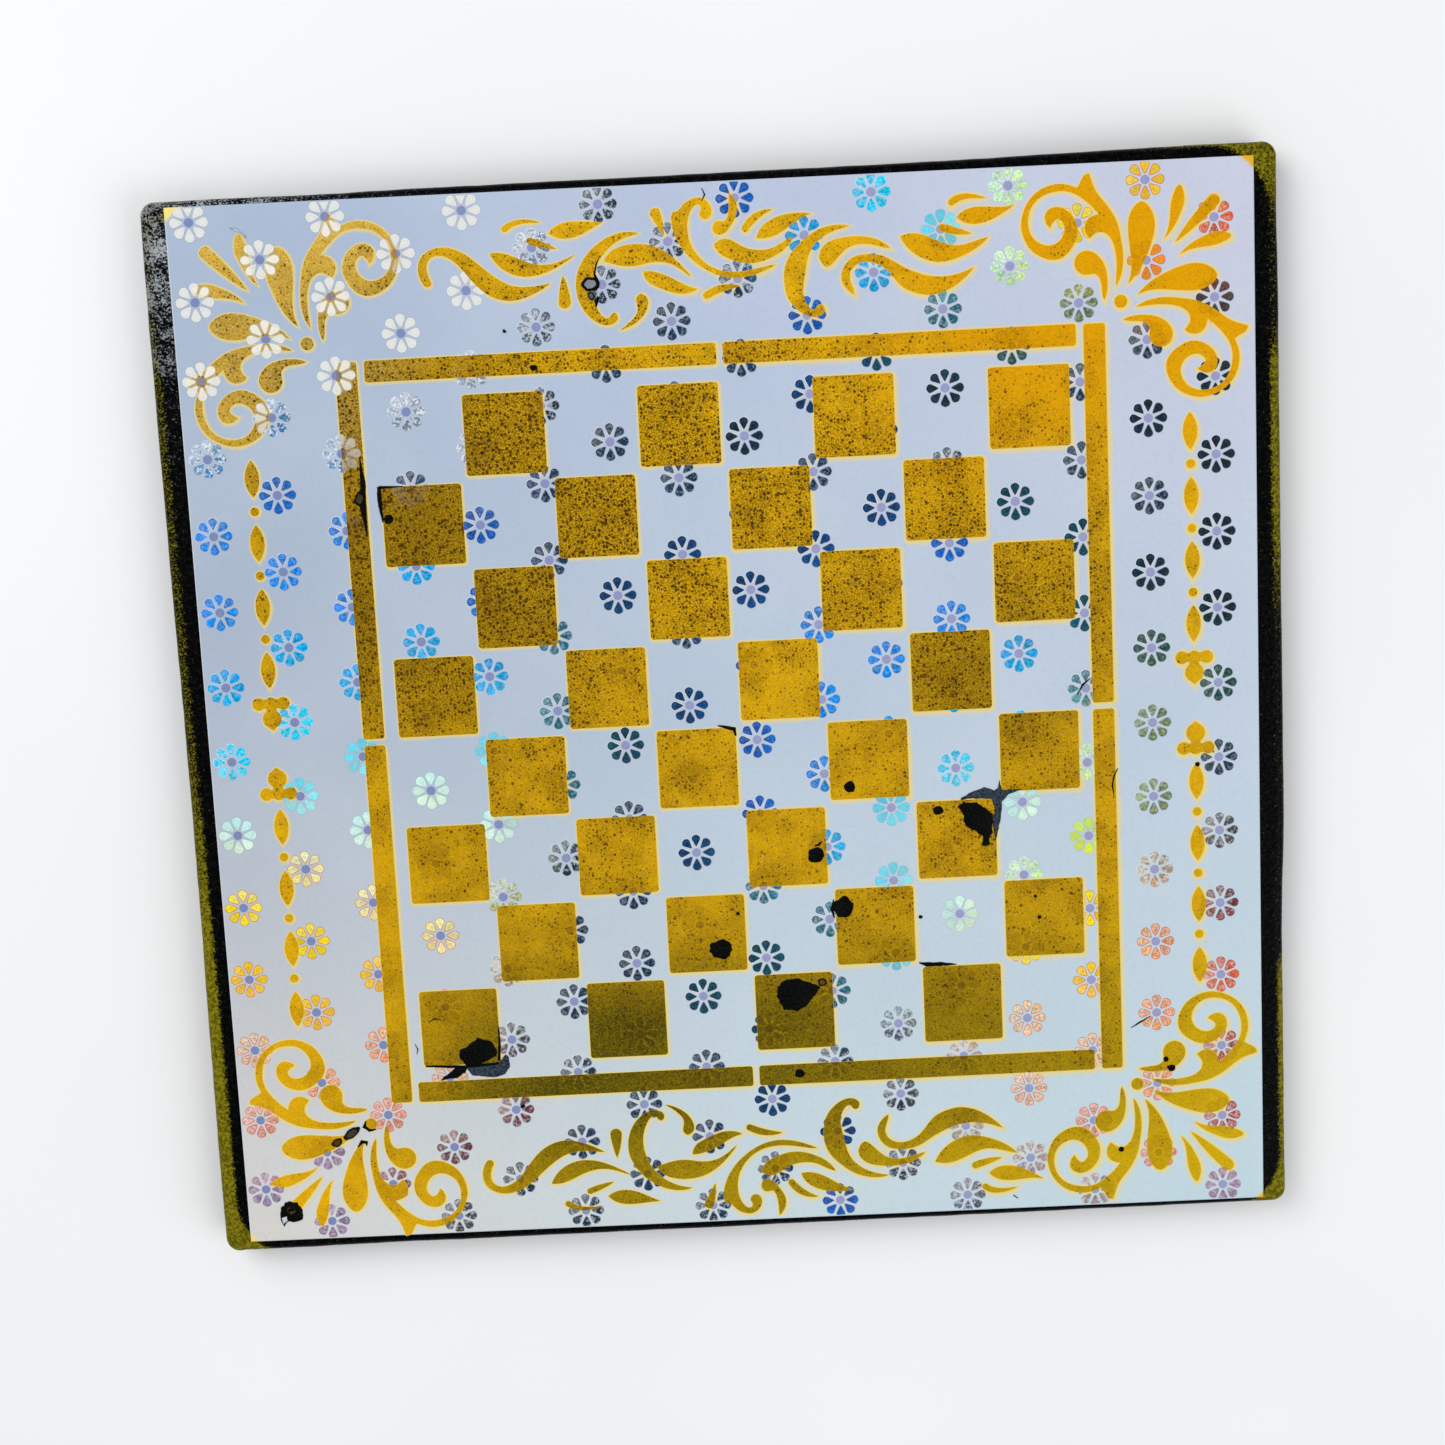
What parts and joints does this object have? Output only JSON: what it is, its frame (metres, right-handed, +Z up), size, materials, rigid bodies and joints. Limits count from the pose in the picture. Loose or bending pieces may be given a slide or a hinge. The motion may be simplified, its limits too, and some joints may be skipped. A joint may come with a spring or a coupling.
{
  "type": "draughts board",
  "caption": "Square draughts board: gold squares, bars and scrollwork sprayed through a stencil on a pale film with foil daisies, laid on a black painted wooden panel.",
  "frame": {"origin": "bottom centre of the board, on the surface that it lies on", "axes": "+Z up out of the playing face, +X to the right and +Y to the back, along the board's sides"},
  "size_m": [0.32, 0.312, 0.0123],
  "materials": {
    "painted_wood": "gloss black paint with a fine orange peel",
    "pearl_film": "pearly film with foil daisies, semi-gloss",
    "gold_paint": "sprayed gold paint, satin"
  },
  "bodies": {
    "root": {"board_panel": "painted_wood", "daisy_film": "pearl_film", "gold_squares": "gold_paint", "gold_border_bars": "gold_paint", "gold_corner_back_right": "gold_paint", "gold_corner_back_left": "gold_paint", "gold_corner_front_right": "gold_paint", "gold_corner_front_left": "gold_paint", "gold_garland_back": "gold_paint", "gold_garland_front": "gold_paint", "gold_chain_right": "gold_paint", "gold_chain_left": "gold_paint"}
  },
  "joints": []
}
